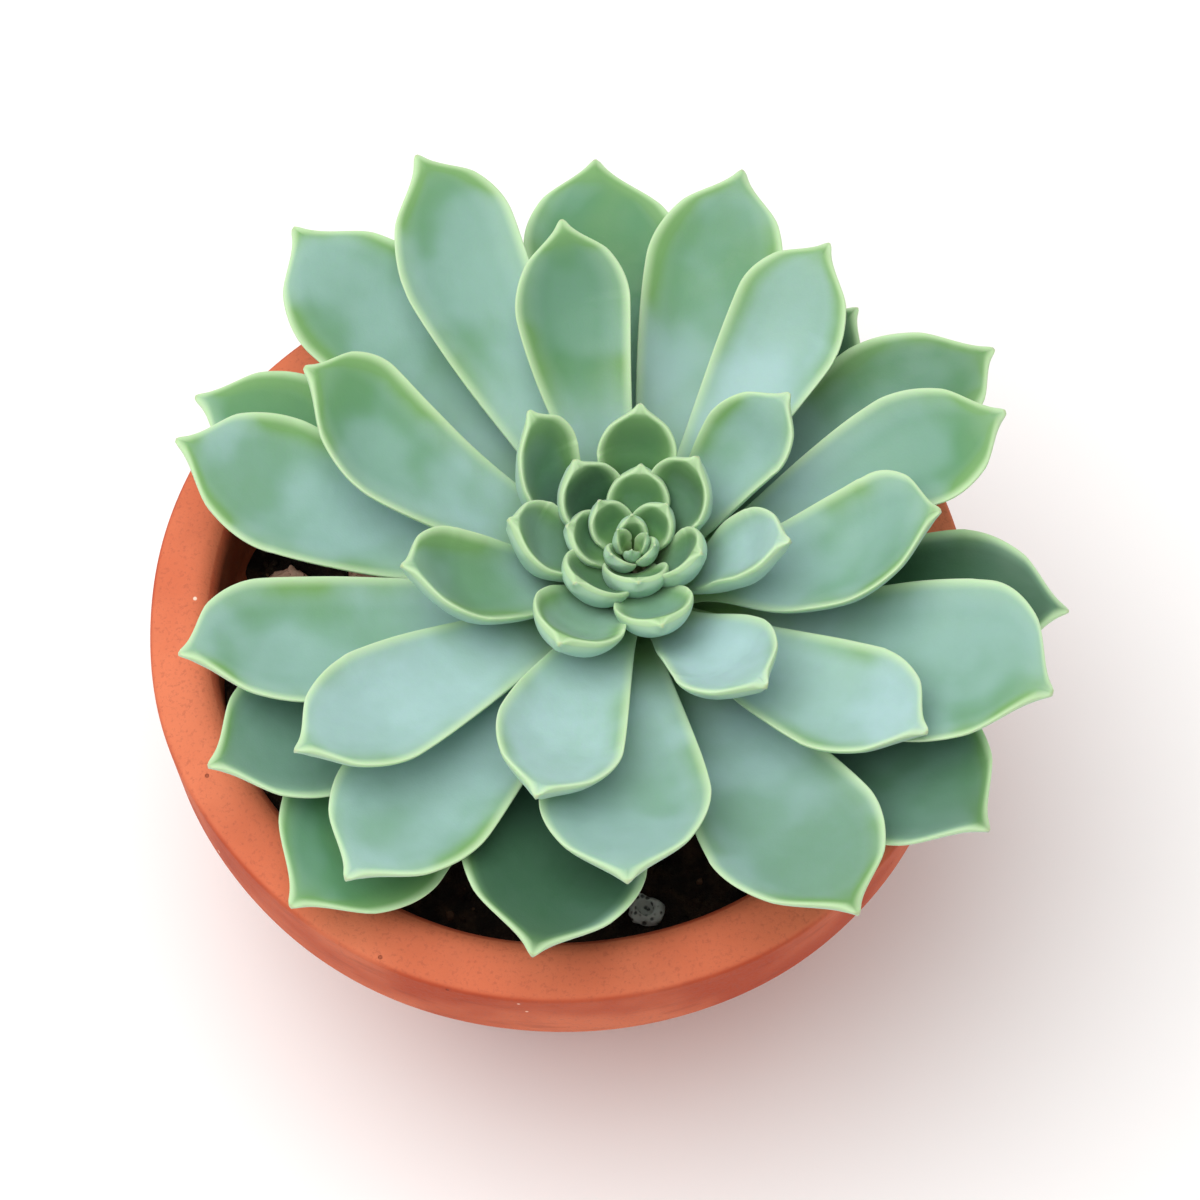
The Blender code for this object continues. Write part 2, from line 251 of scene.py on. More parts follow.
def clayFinish(look):
    finish, tree, shader = newFinish("clay", 0.82, 0.25)
    where = place(tree)
    patch = span(tree, cloud(tree, where, look["patchSize"] * mm, 3.0, 0.6), 0.34, 0.68, 0.0, 0.6)
    colour = blendColour(tree, patch, look["clay"], look["dustyAndLit"])
    # darker drag marks that run round the pot, and the rim's top painted paler: painted light falling on
    # it from above
    drag = cloud(tree, where, look["dragSize"] * mm, 3.0, 0.6, (1.0, 1.0, 5.0))
    colour = blendColour(tree, span(tree, drag, 0.50, 0.80, 0.0, 0.45), colour, look["burnt"])
    litRimTop = span(tree, mark(tree, "litRimTop"), 0.0, 1.0, 0.0, 0.50)
    colour = blendColour(tree, litRimTop, colour, look["dustyAndLit"])
    grain = cloud(tree, where, look["grainSize"] * mm, 3.0, 0.7)
    colour = blendColour(tree, span(tree, grain, 0.30, 0.50, 0.30, 0.0), colour, look["burnt"])
    # a few dark pits and pale flecks, at most one of each in a cell
    pitNear, pitDice = specks(tree, where, look["pitCell"] * mm)
    rare = span(tree, pitDice, 0.78, 0.82)
    pits = sums(tree, "MULTIPLY", span(tree, pitNear, 0.08, 0.15, 1.0, 0.0), rare)
    colour = blendColour(tree, sums(tree, "MULTIPLY", pits, 0.7), colour, look["pit"])
    fleckNear, fleckDice = specks(tree, where, look["fleckCell"] * mm)
    some = span(tree, fleckDice, 0.70, 0.74)
    flecks = sums(tree, "MULTIPLY", span(tree, fleckNear, 0.06, 0.11, 1.0, 0.0), some)
    colour = blendColour(tree, flecks, colour, look["fleck"])
    put(tree, shader.inputs["Base Color"], colour)
    put(tree, shader.inputs["Roughness"], span(tree, grain, 0.3, 0.7, 0.72, 0.92))
    coarse = bump(tree, shader, pits, -look["pitDepth"] * mm)
    bump(tree, shader, grain, look["grainDepth"] * mm, 0.8, coarse)
    return finish


# points on an arc, as radius and height, between two angles in degrees
def arcPoints(centre, radius, start, end, steps):
    turn = np.radians(np.linspace(start, end, steps))
    return [(centre[0] + radius * math.cos(a), centre[1] + radius * math.sin(a)) for a in turn]


# the pot's profile as radius and height: from the floor's middle up the inside, over the rim and
# down the band and the body to the foot's middle, with arcs at the corners
def potProfile(look, height):
    bandFoot = height - look["bandHeight"]
    floorRadius = look["baseRadius"] - look["wall"]
    footRadius = look["rimRadius"] - look["bandTaper"]
    bodyTop = footRadius - look["bandStep"]
    rimEdge = height - look["rimFall"]
    inner, outer, corner = look["innerRound"], look["outerRound"], look["floorRound"]
    band, step, foot = look["bandRound"], look["stepRound"], look["footRound"]
    knots = [(0.35 * floorRadius, look["floor"]), (floorRadius - corner, look["floor"])]
    knots += arcPoints((floorRadius - corner, look["floor"] + corner), corner, -90.0, 0.0, 6)[1:]
    knots += [(look["mouthRadius"] - 0.3, bandFoot - 1.0), (look["mouthRadius"], bandFoot + 0.5)]
    knots += arcPoints((look["mouthRadius"] + inner, height - inner), inner, 180.0, 100.0, 12)
    knots += [(look["mouthRadius"] + inner + 0.6, height - 0.02)]
    knots += arcPoints((look["rimRadius"] - outer, rimEdge - outer), outer, 78.0, 0.0, 9)
    knots += arcPoints((footRadius - band, bandFoot + band), band, 0.0, -90.0, 6)
    knots += arcPoints((bodyTop + step, bandFoot - step), step, 90.0, 180.0, 5)
    knots += arcPoints((look["baseRadius"] - foot, foot), foot, -8.0, -90.0, 7)
    knots += [(0.35 * look["baseRadius"], 0.0)]
    return np.array(knots)


# the profile is filled in at even steps and turned round Z; the wobble follows height and turn
def makePot(look):
    height = potHigh.z / mm
    rimEdge = height - look["rimFall"]
    knots = potProfile(look, height)
    way = np.concatenate(([0.0], np.cumsum(np.linalg.norm(np.diff(knots, axis=0), axis=1))))
    even = np.arange(0.0, way[-1], look["spacing"])
    run = np.unique(np.concatenate((way, even)).round(4))
    radius = np.interp(run, way, knots[:, 0])
    level = np.interp(run, way, knots[:, 1])
    turn = np.arange(look["sides"]) * fullTurn / look["sides"]
    rings = np.stack((radius[:, None] * np.cos(turn), radius[:, None] * np.sin(turn),
                      np.repeat(level[:, None], look["sides"], axis=1)), axis=-1)
    upright = ease(level, 2.0, 8.0)[:, None]
    swell = 1.0 + look["wobble"] * upright * uneven(rings, look["wobbleSize"], 3) / radius[:, None]
    rings[..., :2] *= swell[..., None]
    # the rim's top is marked for its painted light: it is painted paler, as if lit from above
    litRimTop = ease(level, rimEdge - 0.6, rimEdge + 0.1) * (radius > look["mouthRadius"] + 1.0)
    points, faces = closedSkin(rings * mm, (0.0, 0.0, look["floor"] * mm), (0.0, 0.0, 0.0), True)
    litRimTops = np.concatenate((np.repeat(litRimTop, look["sides"]), (0.0, 0.0)))
    pot = addPiece("clayPot", points, faces, clayFinish(look), "pot", dict(litRimTop=litRimTops))
    for number in range(look["drainCount"]):
        drill(pot, look, fullTurn * (0.25 + number / look["drainCount"]))


# one drain hole: a drill of stacked rings is taken away from the pot
def drill(pot, look, heading):
    turn = np.arange(look["drainSides"]) * fullTurn / look["drainSides"]
    levels = np.array((-4.0, 2.0 * look["floor"]))[:, None]  # from below the foot to above the floor
    middle = look["drainCircle"] * np.array((math.cos(heading), math.sin(heading)))
    rings = np.stack((middle[0] + look["drainRadius"] * np.cos(turn) + 0.0 * levels,
                      middle[1] + look["drainRadius"] * np.sin(turn) + 0.0 * levels,
                      levels + 0.0 * turn), axis=-1) * mm
    points, faces = closedSkin(rings, rings[0].mean(axis=0), rings[1].mean(axis=0))
    bit = addPiece("drill", points, faces, pot.data.materials[0], None)
    cut = pot.modifiers.new("drain", "BOOLEAN")
    cut.operation = "DIFFERENCE"
    cut.solver = "EXACT"
    cut.object = bit
    bpy.context.view_layer.update()
    carved = bpy.data.meshes.new_from_object(pot.evaluated_get(bpy.context.evaluated_depsgraph_get()))
    pot.modifiers.clear()
    pot.data = carved
    bpy.data.objects.remove(bit)


makePot(potSet)
print("pot turned")


soilSet = dict(
    lumps=0.9, lumpKinds=((14.0, 0.6), (5.0, 0.45), (2.2, 0.35)),  # size in mm and share of each kind
    lowest=-1.6, highest=1.4, edgeFall=1.2, rows=64, columns=200, footGap=8.5,
    crumbs=900, smallest=0.5, largest=2.0, dents=0.22, fibres=0.22, seed=11,
    patchSize=3.0, grainSize=0.6, grainDepth=0.35,
    dark=(0.012, 0.008, 0.006), brown=(0.050, 0.027, 0.016), fibre=(0.16, 0.080, 0.045),
)


def soilFinish(look):
    finish, tree, shader = newFinish("pottingMix", 0.95, 0.2)
    where = place(tree)
    patch = span(tree, cloud(tree, where, look["patchSize"] * mm, 4.0, 0.65), 0.40, 0.72)
    colour = blendColour(tree, patch, look["dark"], look["brown"])
    colour = blendColour(tree, mark(tree, "shade"), colour, look["fibre"])
    put(tree, shader.inputs["Base Color"], colour)
    bump(tree, shader, cloud(tree, where, look["grainSize"] * mm, 4.0, 0.7), look["grainDepth"] * mm)
    return finish


# how far the soil is raised: unevenness of three sizes, cut off at both ends, less a fall toward
# the edge, which outward reaches at 1
def soilRise(look, points, outward):
    rise = 0.0
    for number, (size, share) in enumerate(look["lumpKinds"]):
        rise = rise + share * uneven(points, size, 5 + number)
    rise = np.clip(look["lumps"] * rise, look["lowest"], look["highest"])
    return rise - look["edgeFall"] * ease(outward, 0.9, 1.0)


# the bed is a disc that soilRise raises, and its edge goes down to a foot within the pot
def makeBed(look, top, base, edge, finish):
    share = np.concatenate((np.linspace(0.03, 0.97, look["rows"]), (0.985, 1.0)))
    turn = np.arange(look["columns"]) * fullTurn / look["columns"]
    radius = edge * share
    rings = np.stack((radius[:, None] * np.cos(turn), radius[:, None] * np.sin(turn),
                      np.full((len(share), len(turn)), top)), axis=-1)
    rings[..., 2] += soilRise(look, rings, share[:, None])
    footRadius = 0.5 * (potSet["baseRadius"] - potSet["wall"] + edge) - look["footGap"]
    skirt = np.stack((footRadius * np.cos(turn), footRadius * np.sin(turn),
                      np.full(len(turn), base)), axis=-1)[None]
    rings = np.concatenate((rings, skirt)) * mm
    middle = (0.0, 0.0, float(rings[0, :, 2].mean()))
    points, faces = closedSkin(rings, middle, (0.0, 0.0, base * mm))
    bed = addPiece("soilBed", points, faces, finish, "soil", dict(shade=np.zeros(len(points))))


# each crumb is one small ball of rings, dented, stretched, turned and laid on the bed
def makeCrumbs(look, top, edge, finish):
    dice = np.random.default_rng(look["seed"])
    count = look["crumbs"]
    tilt = np.linspace(0.0, math.pi, 6)[1:-1]
    around = np.arange(7) * fullTurn / 7
    ball = np.stack((np.sin(tilt)[:, None] * np.cos(around), np.sin(tilt)[:, None] * np.sin(around),
                     np.cos(tilt)[:, None] + 0.0 * around), axis=-1)
    ballPoints, ballFaces = closedSkin(ball, (0.0, 0.0, 1.0), (0.0, 0.0, -1.0))
    size = look["smallest"] * (look["largest"] / look["smallest"]) ** (dice.random(count) ** 1.6)
    scale = 0.5 * size[:, None] * dice.uniform(0.55, 1.25, (count, 3))
    dents = 1.0 + look["dents"] * dice.normal(size=(count, len(ballPoints), 1))
    shapes = ballPoints[None] * dents * scale[:, None]
    spin, lean = dice.uniform(0.0, fullTurn, count), dice.uniform(-1.2, 1.2, count)
    cosLean, sinLean = np.cos(lean)[:, None], np.sin(lean)[:, None]
    x = shapes[..., 0] * cosLean + shapes[..., 2] * sinLean
    z = shapes[..., 2] * cosLean - shapes[..., 0] * sinLean
    cosSpin, sinSpin = np.cos(spin)[:, None], np.sin(spin)[:, None]
    turned = np.stack((x * cosSpin - shapes[..., 1] * sinSpin,
                       x * sinSpin + shapes[..., 1] * cosSpin, z), axis=-1)
    away = (edge - 1.2) * np.sqrt(dice.random(count))
    heading = dice.uniform(0.0, fullTurn, count)
    spots = np.stack((away * np.cos(heading), away * np.sin(heading), np.full(count, top)), axis=-1)
    spots[:, 2] += soilRise(look, spots, away / edge) + 0.12 * size
    points = (turned + spots[:, None]).reshape(-1, 3) * mm
    offsets = (np.arange(count) * len(ballPoints))[:, None, None]
    faces = [(group[None] + offsets).reshape(-1, group.shape[1]) for group in ballFaces]
    shade = np.where(dice.random(count) < look["fibres"], dice.uniform(0.3, 1.0, count), 0.0)
    marks = dict(shade=np.repeat(shade, len(ballPoints)))
    crumbs = addPiece("soilCrumbs", points, faces, finish, "soil", marks)


def makeSoil(look):
    low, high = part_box("soil")
    finish = soilFinish(look)
    makeBed(look, high.z / mm, low.z / mm, high.x / mm, finish)
    makeCrumbs(look, high.z / mm, high.x / mm, finish)


makeSoil(soilSet)
print("soil laid")


chipSet = dict(
    # turn in degrees, length, width, thickness in mm
    bark_chip_01=(20, 8.0, 4.6, 2.4), bark_chip_02=(-35, 6.5, 4.0, 2.0),
    bark_chip_03=(75, 6.0, 4.4, 2.6), bark_chip_04=(10, 5.2, 3.4, 1.8),
    pumice_bit=(0, 4.2, 3.6, 2.6),
    barkPower=0.5, stonePower=0.8,  # how square a chip is: 1 is a ball, less is squarer
    seat=0.42,  # height of a chip's middle above its CAD node's low side, in thicknesses
    cellX=0.2, cellY=-0.1, cellDepth=1.5,  # the open cell in the top of the pumice
    layerSize=1.6, layerDepth=0.30, crackSize=0.9, holeCell=0.8, holeDepth=0.25,
    bark=(0.47, 0.235, 0.165), heartwood=(0.66, 0.40, 0.29), crack=(0.10, 0.042, 0.026),
    stone=(0.50, 0.50, 0.47), hollow=(0.10, 0.10, 0.09),
)


def barkFinish(look):
    finish, tree, shader = newFinish("barkChip", 0.9, 0.25)
    where = place(tree)
    layers = cloud(tree, where, look["layerSize"] * mm, 4.0, 0.65, (1.0, 1.0, 4.0))
    colour = blendColour(tree, span(tree, layers, 0.35, 0.65), look["bark"], look["heartwood"])
    cracks = span(tree, cloud(tree, where, look["crackSize"] * mm, 3.0, 0.7), 0.34, 0.46, 1.0, 0.0)
    colour = blendColour(tree, cracks, colour, look["crack"])
    put(tree, shader.inputs["Base Color"], colour)
    bump(tree, shader, layers, look["layerDepth"] * mm)
    return finish


def pumiceFinish(look):
    finish, tree, shader = newFinish("pumiceStone", 0.95, 0.2)
    where = place(tree)
    near, _ = specks(tree, where, look["holeCell"] * mm)
    # the holes are painted dark as painted shade in the pores, and dented by the bump
    holes = span(tree, near, 0.18, 0.42, 1.0, 0.0)
    colour = blendColour(tree, holes, look["stone"], look["hollow"])
    put(tree, shader.inputs["Base Color"], colour)
    bump(tree, shader, holes, -look["holeDepth"] * mm)
    return finish


# a sine or cosine to a power, with its sign kept
def squared(wave, power):
    return np.sign(wave) * np.abs(wave) ** power


# a chip is a ball with its sines and cosines squared off, then roughened and turned about Z
def makeChips(look):
    bark, stone = barkFinish(look), pumiceFinish(look)
    names = [name for name in sorted(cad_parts) if name.startswith(("bark_chip", "pumice"))]
    for seed, name in enumerate(names):
        turn, length, width, thickness = look[name]
        low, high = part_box(name)
        isStone = name.startswith("pumice")
        power = look["stonePower"] if isStone else look["barkPower"]
        tilt = np.linspace(0.0, math.pi, 30)[1:-1, None]
        around = np.arange(44) * fullTurn / 44
        outward = squared(np.sin(tilt), power)
        shape = np.stack((outward * squared(np.cos(around), power),
                          outward * squared(np.sin(around), power),
                          squared(np.cos(tilt), power) + 0.0 * around), axis=-1)
        shape = shape * 0.5 * np.array((length, width, thickness))
        rough = 1.0 + 0.10 * uneven(shape, 3.2, 40 + seed) + 0.05 * uneven(shape, 1.1, 60 + seed)
        shape = shape * rough[..., None]
        if isStone:
            near = np.hypot(shape[..., 0] - look["cellX"], shape[..., 1] - look["cellY"])
            hollow = look["cellDepth"] * (1.0 - ease(near, 0.6, 1.25))
            shape[..., 2] -= hollow * (shape[..., 2] > 0.0)
        angle = math.radians(turn)
        x = shape[..., 0] * math.cos(angle) - shape[..., 1] * math.sin(angle)
        y = shape[..., 0] * math.sin(angle) + shape[..., 1] * math.cos(angle)
        rings = np.stack((x, y, shape[..., 2]), axis=-1) * mm
        rings += np.array(((low.x + high.x) / 2, (low.y + high.y) / 2,
                           low.z + look["seat"] * thickness * mm))
        points, faces = closedSkin(rings, rings[0].mean(axis=0), rings[-1].mean(axis=0))
        title = "pumiceBit" if isStone else "barkChip%s" % name[-2:]
        chip = addPiece(title, points, faces, stone if isStone else bark, name)


makeChips(chipSet)
print("chips laid")


# how the plant grows: values at these ages, counted in leaves from the heart outwards
ages = (0, 5, 10, 17, 25, 34, 46, 58)
growth = dict(
    drop=(0.0, 0.27, 0.57, 1.2, 2.15, 3.25, 4.75, 6.35),  # start below the stem's end, in layers
    spread=(0.10, 0.26, 0.40, 0.58, 0.78, 0.92, 1.0, 1.0),  # start, share of the stem's radius
    rise=(0.0, 0.17, 0.67, 1.33, 1.83, 1.17, -0.67, -3.5),  # tip above the heart, in layers
    startPitch=(82.0, 78.0, 72.0, 64.0, 56.0, 46.0, 34.0, 22.0),  # slope at the stem, in degrees
    endPitch=(84.0, 74.0, 58.0, 42.0, 28.0, 14.0, 4.0, -6.0),  # slope at the tip
    cup=(0.10, 0.20, 0.27, 0.42, 0.42, 0.33, 0.28, 0.24),  # margin above the middle, in half widths
    wax=(0.0, 0.06, 0.14, 0.36, 0.80, 1.0, 1.0, 1.0),  # bloom on the upper face
    thickness=(0.16, 0.18, 0.26, 0.38, 0.60, 0.84, 1.0, 1.0),  # of the flesh, in layers
    neck=(0.85, 0.80, 0.66, 0.52, 0.42, 0.34, 0.32, 0.32),  # base width, share of the widest
    widest=(0.50, 0.58, 0.66, 0.72, 0.75, 0.77, 0.77, 0.77),  # where along the leaf it is widest
    edge=(0.5, 0.9, 1.5, 1.9, 1.8, 1.5, 1.35, 1.3),  # thickness of the margin, mm
)
plantSet = dict(
    stemX=8.6, stemY=4.6, stemRadius=6.0, stemTaper=0.8, heartHeight=6.5,
    rosetteRadius=60.0, layer=3.0, goldenAngle=137.5, firstHeading=5.0,
    handle=0.36,  # how far the slope at each end of a leaf is felt, as a share of its straight length
    sink=1.8, sinkStart=0.10, sinkEnd=0.60,  # how far a leaf settles below its curve, and where
    rows=80, ring=60,
)
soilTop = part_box("soil")[1].z / mm
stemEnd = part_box("stem")[1].z / mm
heartTop = stemEnd + plantSet["heartHeight"]

# youngest first: heading, reach in hundredths of the rosette's radius, width in mm
heartLeaves = (
    (265, 2.8, 2.4), (20, 3.2, 2.8), (150, 3.8, 3.2), (338, 5.3, 4.4), (223, 6.7, 5.4),
    (92, 5.5, 4.8), (132, 11.2, 6.8), (43, 10.6, 6.8), (174, 14.7, 8.4), (275, 13.6, 10.0),
    (83, 16.0, 8.8),
)
# in the order of the spiral: turn off it in degrees, reach, lift in layers, width in mm, bow in
# degrees (how far the middle of the leaf stands off its own heading)
rosetteLeaves = (
    (13, 19.5, 0, 10.4, 0), (-18, 17, 0, 8.8, 0), (0, 20.5, 0, 11.0, 8), (16, 26.5, 0.1, 10.5, 0),
    (2, 21.5, 0, 10.8, -8), (-1, 27.5, 0, 11.0, 8), None, (-11, 27.5, 0, 10.8, 0),
    (8, 35, 0, 12.8, -4), None, None, None, None, (-7, 50, 0, 13.5, 6), (8, 33.5, 0, 10.6, 0),
    (15, 32.5, 0, 10.4, 15), (-2, 67.5, 0.1, 15.8, -1), (8, 43, 0, 11.8, 0), None,
    (-3, 47.5, 0, 14.2, -2), (17, 70, 0, 14.2, 3), (-4, 86, 0.47, 15.6, 1.5),
    (1, 62.5, 0, 16.8, -9), (16, 75, 0.33, 16.0, 6.5), (-6, 80.5, 0, 20.4, -1),
    (5, 76, 0, 15.0, -1), (8, 95.5, 0.03, 17.4, 2.5), (-6, 74.5, 0.1, 16.4, -4.5),
    (12.5, 96.5, 0.1, 16.4, 1.5), (-9, 95.5, -0.2, 19.0, 0), (-1.5, 80, 0.55, 16.0, 0),
    (10, 95, 0, 18.2, 4.5), (2.5, 94.5, 0, 21.2, -2), (2, 87.5, 0, 16.4, 1), (0.5, 98, -0.53, 19.5, 1),
    (-11.5, 91, 0.83, 24.0, -2), (9, 100.5, -0.1, 19.0, 1), (-5, 92.5, 0.13, 22.6, 0),
    (-9.5, 86, 0.67, 16.0, 4.5), None, (3.5, 93.5, 0.13, 22.5, -1.5), (2, 91.5, 0, 20.5, 0),
    (-1.5, 102, -0.2, 23.0, -2), (-15.5, 88.5, 0.4, 17.0, 2), (12, 97, 0, 16.8, 0), None,
    (-8, 76, 0.2, 13.0, 0),
)
# how dark the leaves in the shade of others are, as painted shade, and how far the bloom is rubbed off the
# outer half, which also sets how much painted shade darkens the middle of the blade
darkLeaves = dict(
    leaf_05=0.3, leaf_06=0.3, leaf_07=0.5, leaf_08=0.35, leaf_09=0.6, leaf_10=0.4, leaf_11=0.4,
    leaf_12=0.6, leaf_13=0.5, leaf_14=1.0, leaf_15=0.1, leaf_16=0.6, leaf_17=0.3, leaf_18=0.4,
    leaf_19=0.1, leaf_20=0.15, leaf_22=0.45, leaf_26=0.15, leaf_30=0.1, leaf_38=0.25, leaf_40=0.5,
    leaf_43=1.0, leaf_44=0.3, leaf_45=0.6, leaf_47=0.15, leaf_48=0.95, leaf_50=1.0,
)
wornAndShadedLeaves = dict(
    leaf_18=1.1, leaf_20=0.8, leaf_22=1.2, leaf_24=0.6, leaf_26=1.4, leaf_27=0.4, leaf_28=0.9,
    leaf_29=1.0, leaf_30=0.6, leaf_31=0.4, leaf_32=0.8, leaf_33=0.3, leaf_34=0.9, leaf_35=0.6,
    leaf_36=1.1, leaf_37=0.7, leaf_38=0.6, leaf_39=0.9, leaf_40=0.9, leaf_41=0.8, leaf_42=0.8,
    leaf_43=0.6, leaf_44=1.2, leaf_45=0.9, leaf_46=1.5, leaf_47=1.9, leaf_48=1.2, leaf_49=1.2,
    leaf_50=1.0,
)


# a value of growth at any age, on straight lines between the ages given
def grown(curve, age):
    return float(np.interp(age, ages, growth[curve]))


stemSet = dict(
    rows=90, columns=96, ridge=0.16, flare=0.8, patchSize=4.0, grainSize=0.8, grainDepth=0.15,
    young=(0.20, 0.36, 0.12), old=(0.12, 0.15, 0.060), scar=(0.45, 0.40, 0.26),
)


def stemFinish(look):
    finish, tree, shader = newFinish("stemSkin", 0.75, 0.3)
    where = place(tree)
    patch = span(tree, cloud(tree, where, look["patchSize"] * mm, 3.0, 0.6), 0.35, 0.65)
    colour = blendColour(tree, patch, look["young"], look["old"])
    colour = blendColour(tree, mark(tree, "scar"), colour, look["scar"])
    put(tree, shader.inputs["Base Color"], colour)
    bump(tree, shader, cloud(tree, where, look["grainSize"] * mm, 3.0, 0.6), look["grainDepth"] * mm)
    return finish


# the stem's radius follows the leaf bases and flares at the soil; the ridges where leaves came off
# are the product of two cosines that spiral round it opposite ways
def makeStem(look):
    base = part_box("stem")[0].z / mm
    level = np.linspace(base, stemEnd - 0.4, look["rows"])
    heights = [stemEnd - grown("drop", age) * plantSet["layer"] for age in ages]
    wide = [plantSet["stemTaper"] * plantSet["stemRadius"] * grown("spread", age) for age in ages]
    radius = np.interp(level, heights[::-1], wide[::-1])
    radius = radius + look["flare"] * ease(level, soilTop + 2.5, soilTop - 1.0)
    turn = np.arange(look["columns"]) * fullTurn / look["columns"]
    scars = np.cos(5.0 * turn + 3.2 * level[:, None]) * np.cos(3.0 * turn - 1.9 * level[:, None])
    outward = radius[:, None] + look["ridge"] * scars
    rings = np.stack((plantSet["stemX"] + outward * np.cos(turn),
                      plantSet["stemY"] + outward * np.sin(turn),
                      level[:, None] + 0.0 * turn), axis=-1)
    rings[..., :2] += 0.08 * uneven(rings, 4.0, 21)[..., None]
    points, faces = closedSkin(rings * mm, rings[0].mean(axis=0) * mm, rings[-1].mean(axis=0) * mm)
    marks = dict(scar=np.concatenate((ease(scars, 0.35, 0.9).ravel(), (0.0, 0.0))))
    stem = addPiece("stemCore", points, faces, stemFinish(look), "stem", marks)


makeStem(stemSet)
print("stem grown")


leafSet = dict(
    bloom=(0.430, 0.620, 0.640), deep=(0.110, 0.290, 0.160), flesh=(0.090, 0.255, 0.105),
    young=(0.230, 0.430, 0.135), margin=(0.545, 0.730, 0.440),
    underside=(0.420, 0.640, 0.560), shaded=(0.022, 0.085, 0.035),
    point=(0.480, 0.400, 0.170), blush=(0.360, 0.160, 0.090),
    wideCloud=15.0, fineCloud=3.5, blushCell=2.4, dimpleSize=2.6, dimpleDepth=0.10,
    poreSize=0.28, poreDepth=0.018,
    lightThrough=0.22, throughDepth=1.6, throughColour=(0.5, 1.0, 0.35),
    velvet=0.12, velvetColour=(0.80, 0.95, 0.92),
    skew=0.045, fuller=0.06,  # how much the two sides differ, in shoulder place and in width
    risePower=1.25, fallPower=2.1, tipPinch=0.68, leastHalf=0.30,  # the outline
    sheetPower=2.4, fleshPower=2.3, lipPower=0.7, baseCup=0.12, ruffle=0.010,  # the section
    fleshPlaces=(0.0, 0.15, 0.35, 0.66, 0.85, 0.95, 1.0),
    fleshShares=(0.34, 0.50, 0.76, 0.98, 0.70, 0.42, 0.10),
)


# wax bloom: thin at the base, rubbed off toward the margin on the outer half, in soft patches
def waxCover(tree, along, rim, wornAndShaded, wide, fine):
    outer = sums(tree, "MULTIPLY", span(tree, along, 0.35, 0.85), wornAndShaded)
    rubbed = sums(tree, "MULTIPLY", outer, span(tree, rim, 1.0, 6.0, 0.80, 0.34))
    rubbed = sums(tree, "MULTIPLY", rubbed, span(tree, wide, 0.0, 1.0, 0.45, 1.0))
    band = sums(tree, "MULTIPLY", span(tree, rim, 0.6, 3.4, 0.50, 0.0),
                span(tree, along, 0.3, 0.7, 0.2, 1.0))
    band = sums(tree, "MULTIPLY", band, span(tree, wide, 0.0, 1.0, 0.35, 1.0))
    keep = sums(tree, "MULTIPLY", mark(tree, "wax"), span(tree, along, 0.10, 0.42, 0.15, 1.0))
    bloom = sums(tree, "SUBTRACT", keep, sums(tree, "ADD", band, rubbed))
    bloom = sums(tree, "SUBTRACT", bloom, sums(tree, "MULTIPLY", wide, 0.14))
    return sums(tree, "SUBTRACT", bloom, sums(tree, "MULTIPLY", fine, 0.08))


# the green under the wax: yellower at the base, at the margin and in patches
def fleshColour(tree, look, along, rim, wide):
    green = blendColour(tree, span(tree, along, 0.05, 0.75), look["young"], look["flesh"])
    green = blendColour(tree, sums(tree, "MULTIPLY", wide, 0.30), green, look["young"])
    return blendColour(tree, span(tree, rim, 0.5, 4.0, 0.55, 0.0), green, look["young"])


# the wax itself: down the middle it is thinner and the darker blue-green shows through it; that darker
# middle is also painted shade in the hollow of the cupped blade, stronger on worn leaves
def waxColourAndShade(tree, look, along, rim, wornAndShaded, wide):
    heart = sums(tree, "MULTIPLY", span(tree, rim, 0.8, 4.5, 0.35, 1.0),
                 span(tree, wornAndShaded, 0.0, 1.5, 0.06, 1.35))
    heart = sums(tree, "MULTIPLY", heart, span(tree, wide, 0.0, 1.0, 0.62, 1.0))
    heart = sums(tree, "MULTIPLY", heart, span(tree, along, 0.30, 0.70, 0.20, 1.0))
    return blendColour(tree, heart, look["bloom"], look["deep"])


